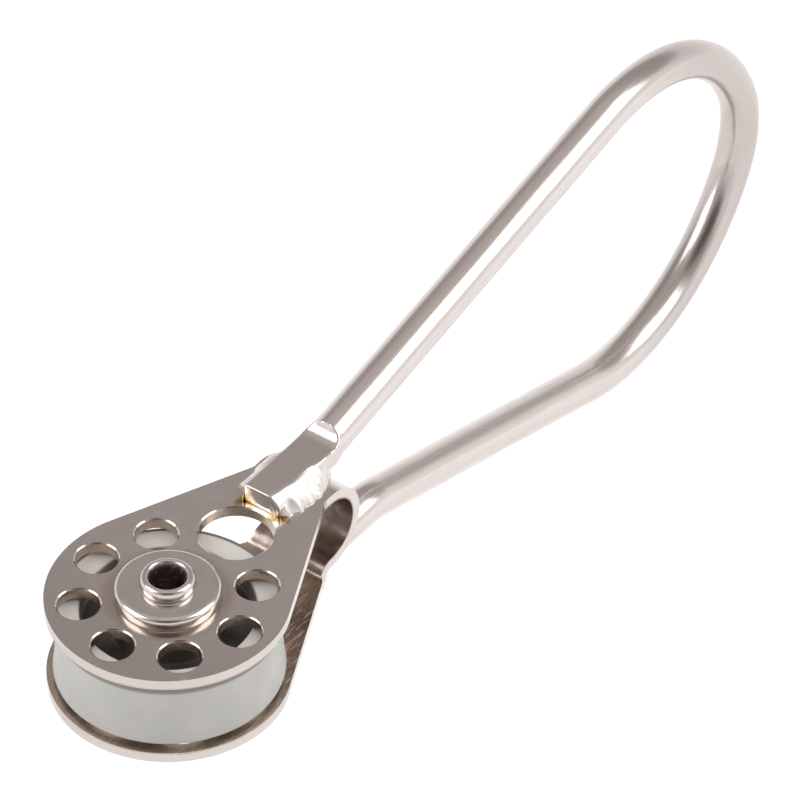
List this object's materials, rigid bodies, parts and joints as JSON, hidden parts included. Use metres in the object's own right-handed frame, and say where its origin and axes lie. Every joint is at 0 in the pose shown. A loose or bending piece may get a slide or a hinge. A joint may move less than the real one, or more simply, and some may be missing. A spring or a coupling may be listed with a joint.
{
  "type": "single sheave block",
  "caption": "Stainless boat block: a folded strip makes two round cheeks around a plastic sheave on a hollow rivet, with a welded rod loop for hanging it.",
  "frame": {"origin": "on the axle, midway between the two cheeks", "axes": "+Z along the axle towards the front cheek, +X from the sheave towards the rod loop, +Y across the cheeks"},
  "size_m": [0.1504, 0.0318, 0.0534],
  "materials": {
    "stainless_strip": "polished flat, fine scratches, bright edges",
    "stainless_rod": "polished round rod",
    "stainless_turned": "fine turned, polished edges",
    "weld_metal": "rippled weld bead, straw heat tint at the toe",
    "sheave_plastic": "light grey moulded, satin",
    "bearing_plastic": "off-white, smooth"
  },
  "bodies": {
    "frame": {"cheek_strap": "stainless_strip", "rod_loop": "stainless_rod", "hollow_rivet": "stainless_turned", "front_head_washer": "stainless_turned", "rear_head_washer": "stainless_turned", "axle_sleeve": "stainless_turned", "front_thrust_washer": "bearing_plastic", "rear_thrust_washer": "bearing_plastic", "weld_front_left": "weld_metal", "weld_front_right": "weld_metal", "weld_rear_left": "weld_metal", "weld_rear_right": "weld_metal"},
    "wheel": {"sheave": "sheave_plastic", "sheave_bush": "bearing_plastic"}
  },
  "joints": [
    {"name": "sheave_spin", "type": "hinge", "parent": "frame", "child": "wheel", "pos_m": [0, 0, 0], "axis": [0, 0, 1], "continuous": true}
  ]
}
